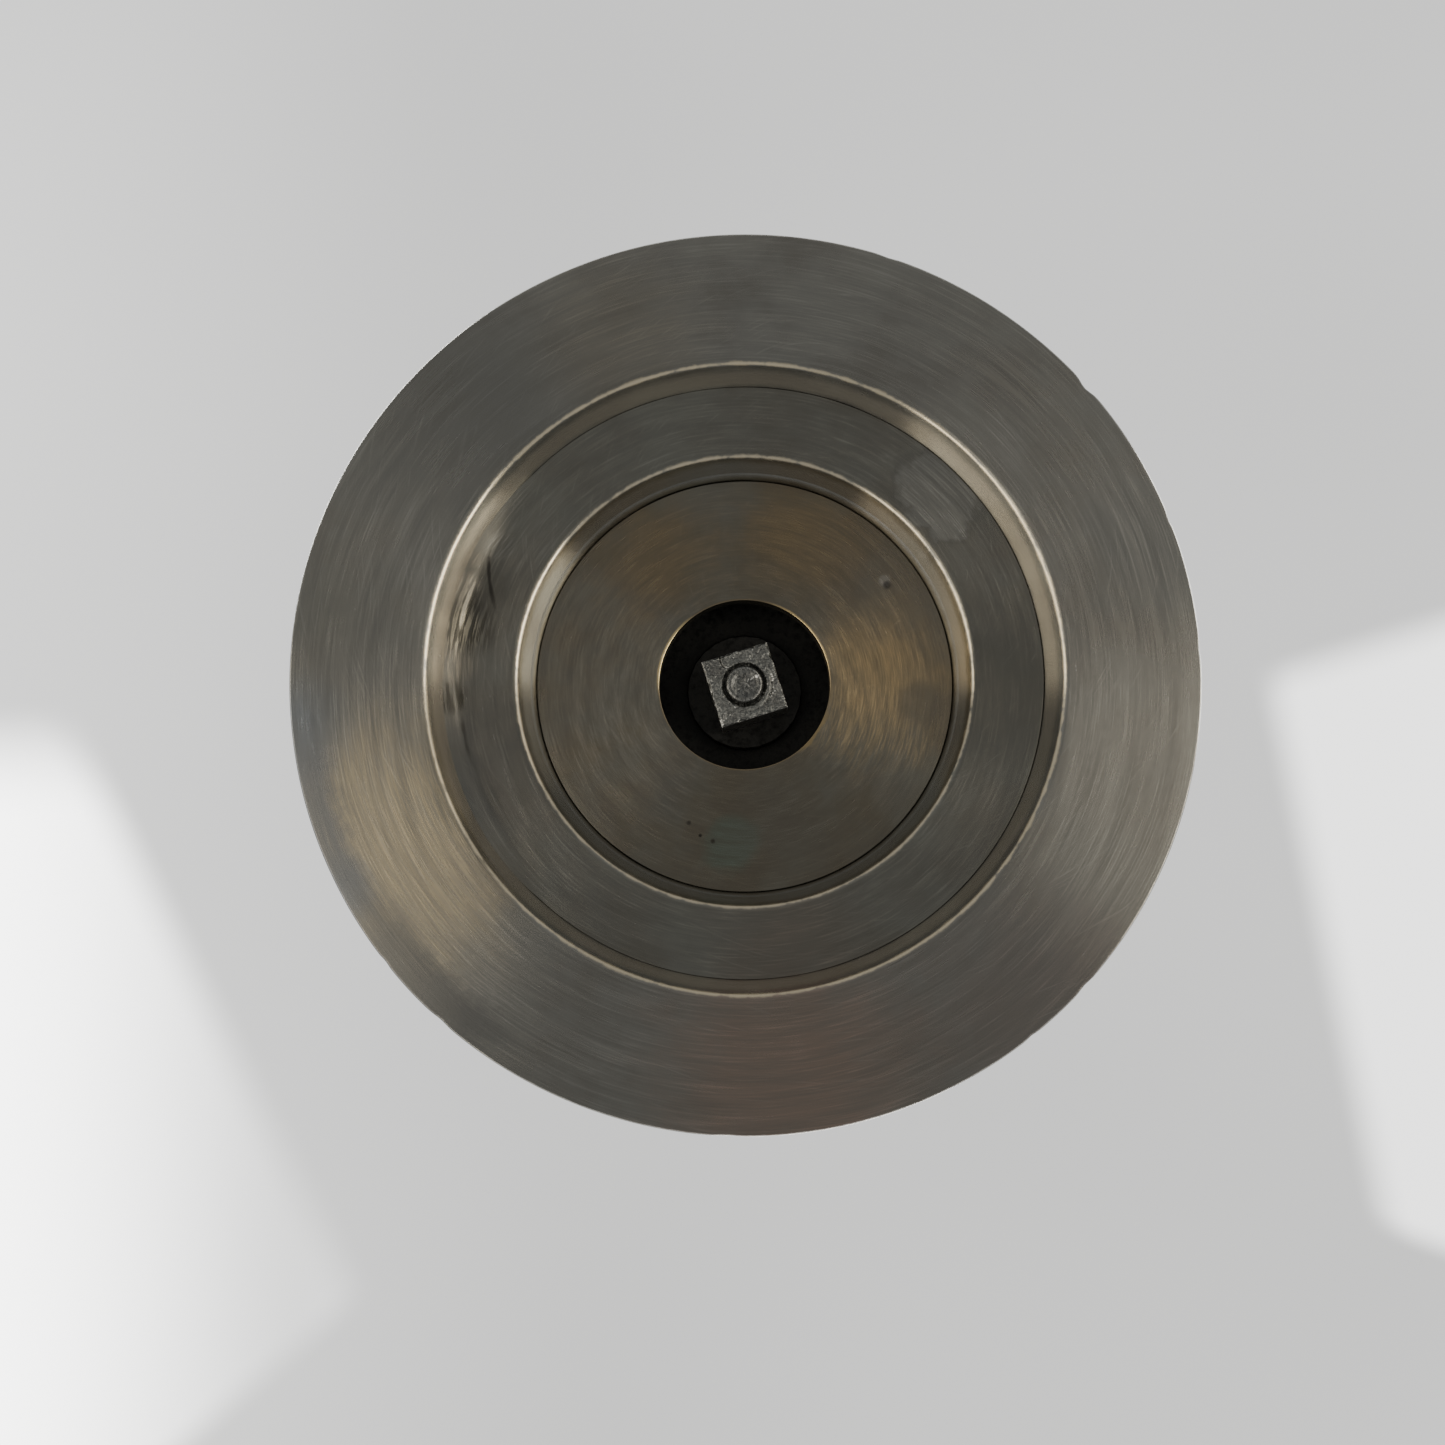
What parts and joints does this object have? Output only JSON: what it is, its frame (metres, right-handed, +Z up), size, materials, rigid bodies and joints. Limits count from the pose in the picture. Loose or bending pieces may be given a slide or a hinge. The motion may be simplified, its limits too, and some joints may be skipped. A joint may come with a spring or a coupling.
{
  "type": "pepper mill",
  "caption": "Turned metal pepper mill with a wide stepped foot, a waisted barrel, a rounded turning head and a serrated adjusting knob.",
  "frame": {"origin": "centre of the foot's flat underside, on the mill's axis, at the plane that the mill stands on", "axes": "+Z up along the mill's axis from the foot to the knob; +X and +Y are any two square directions across it"},
  "size_m": [0.064, 0.064, 0.112],
  "materials": {
    "plated_brass": "worn, tarnished silver-grey plating over turned brass, brushed, with brassy edges",
    "ring_brass": "worn, tarnished plating over turned brass, brushed and stained",
    "outlet_brass": "tarnished olive-brown brass with darker spots",
    "bare_brass": "bare brass, handled and slightly tarnished",
    "steel": "plain bright steel",
    "spindle_steel": "dull grey steel with a polished riveted end",
    "burr_steel": "blackened hardened steel",
    "spring_steel": "bright drawn spring wire",
    "fibre": "dark pressed fibre"
  },
  "bodies": {
    "base": {"base_foot": "plated_brass", "retaining_ring": "ring_brass", "outlet_plate": "outlet_brass", "stator_ring": "burr_steel", "stator_pin_1": "steel", "stator_pin_2": "steel", "body_barrel": "plated_brass", "guide_bridge": "steel", "head_washer": "fibre"},
    "turning_washer": {"spring_washer": "steel"},
    "grinder": {"spindle": "spindle_steel", "spindle_end_block": "spindle_steel", "rotor_washer": "burr_steel", "rotor_burr": "burr_steel", "rotor_spring": "spring_steel"},
    "head": {"head_cap": "plated_brass", "head_spigot": "bare_brass", "drive_plate": "steel", "drive_plate_screw_1": "steel", "drive_plate_screw_2": "steel", "drive_plate_screw_3": "steel", "knob_washer": "steel"},
    "knob": {"adjusting_knob": "bare_brass"}
  },
  "joints": [
    {"name": "head_spin", "type": "hinge", "parent": "base", "child": "turning_washer", "pos_m": [0, 0, 0.0309], "axis": [0, 0, 1], "continuous": true},
    {"name": "spindle_lift", "type": "slide", "parent": "turning_washer", "child": "grinder", "axis": [0, 0, 1], "range_m": [-0.0002, 0.0012], "deforming": ["rotor_spring"]},
    {"name": "head_lift", "type": "slide", "parent": "turning_washer", "child": "head", "axis": [0, 0, 1], "range_m": [0, 0.045]},
    {"name": "knob_turn", "type": "hinge", "parent": "head", "child": "knob", "pos_m": [0, 0, 0.108], "axis": [0, 0, 1], "range_deg": [-450, 0]}
  ],
  "couplings": [
    {"joint": "spindle_lift", "follows": "knob_turn", "m_per_rad": -0.00012732}
  ]
}
